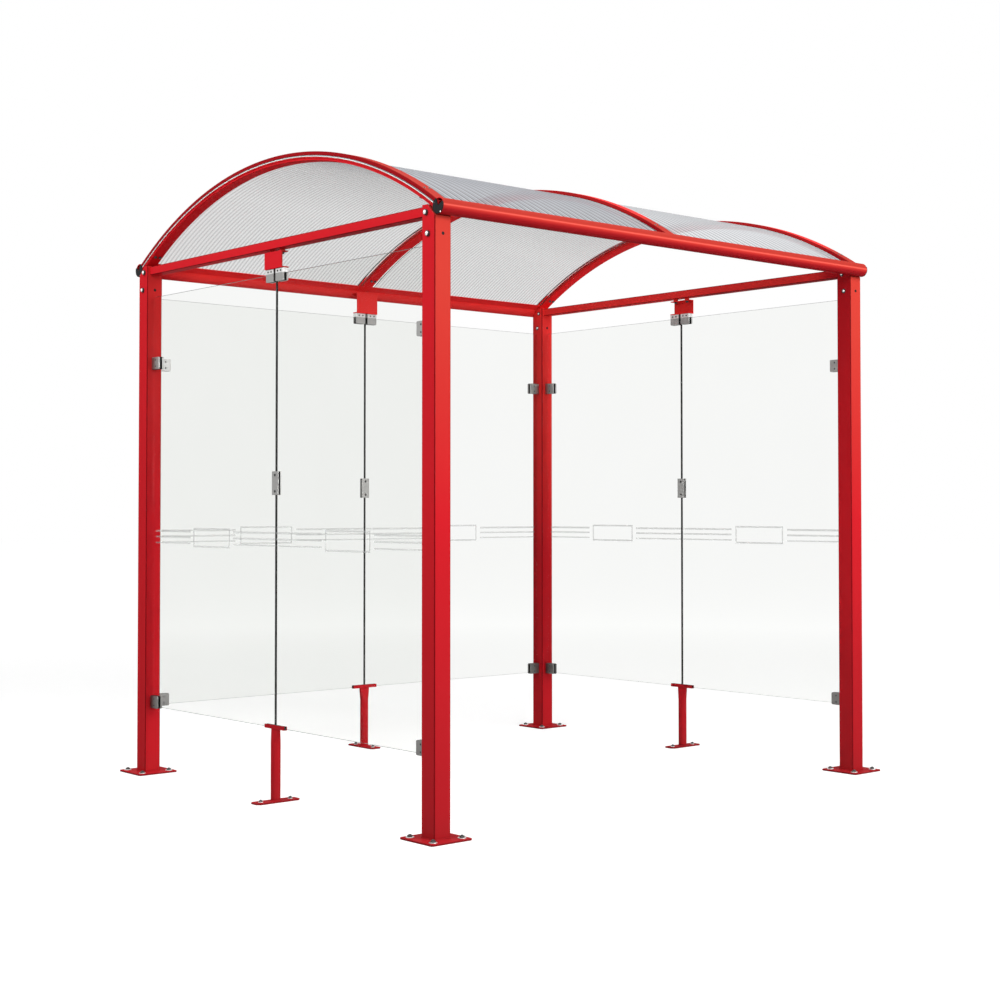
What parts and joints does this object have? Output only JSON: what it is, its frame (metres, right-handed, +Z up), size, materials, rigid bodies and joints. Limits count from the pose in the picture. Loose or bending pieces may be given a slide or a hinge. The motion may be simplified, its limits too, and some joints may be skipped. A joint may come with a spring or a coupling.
{
  "type": "bicycle shelter",
  "caption": "Open-fronted bicycle shelter: square posts on base plates, an arched translucent roof between round eaves rails, and clamped glass panes on the ends and rear.",
  "frame": {"origin": "on the ground at the middle of the footprint", "axes": "+X along the open front towards its right end seen from outside, +Y to the glazed rear, +Z up"},
  "size_m": [2.77, 2.386, 2.7592],
  "materials": {
    "red_coat": "signal red powder coat, satin",
    "roof_sheet": "translucent fluted sheet",
    "glass": "clear toughened glass",
    "stainless": "satin stainless steel",
    "seal": "black rubber",
    "end_cap": "black moulded plastic"
  },
  "bodies": {
    "root": {"post_front_left": "red_coat", "post_front_right": "red_coat", "post_rear_left": "red_coat", "post_rear_right": "red_coat", "base_plate_front_left": "red_coat", "base_plate_front_right": "red_coat", "base_plate_rear_left": "red_coat", "base_plate_rear_right": "red_coat", "eaves_rail_front": "red_coat", "eaves_rail_rear": "red_coat", "rail_end_caps_front": "end_cap", "rail_end_caps_rear": "end_cap", "tie_beam_left": "red_coat", "tie_beam_right": "red_coat", "arch_bar_left": "red_coat", "arch_bar_middle": "red_coat", "arch_bar_right": "red_coat", "arch_cover_left": "red_coat", "arch_cover_middle": "red_coat", "arch_cover_right": "red_coat", "roof_sheet_left": "roof_sheet", "roof_sheet_right": "roof_sheet", "glass_left_front": "glass", "glass_left_rear": "glass", "glass_rear_left": "glass", "glass_rear_right": "glass", "glass_right_front": "glass", "glass_right_rear": "glass", "glass_clamps_left": "stainless", "glass_clamps_rear": "stainless", "glass_clamps_right": "stainless", "glass_seals_left": "seal", "glass_seals_rear": "seal", "glass_seals_right": "seal", "top_bracket_left": "red_coat", "top_bracket_rear": "red_coat", "top_bracket_right": "red_coat", "joint_clip_left": "stainless", "joint_clip_rear": "stainless", "joint_clip_right": "stainless", "foot_left": "red_coat", "foot_rear": "red_coat", "foot_right": "red_coat"}
  },
  "joints": []
}
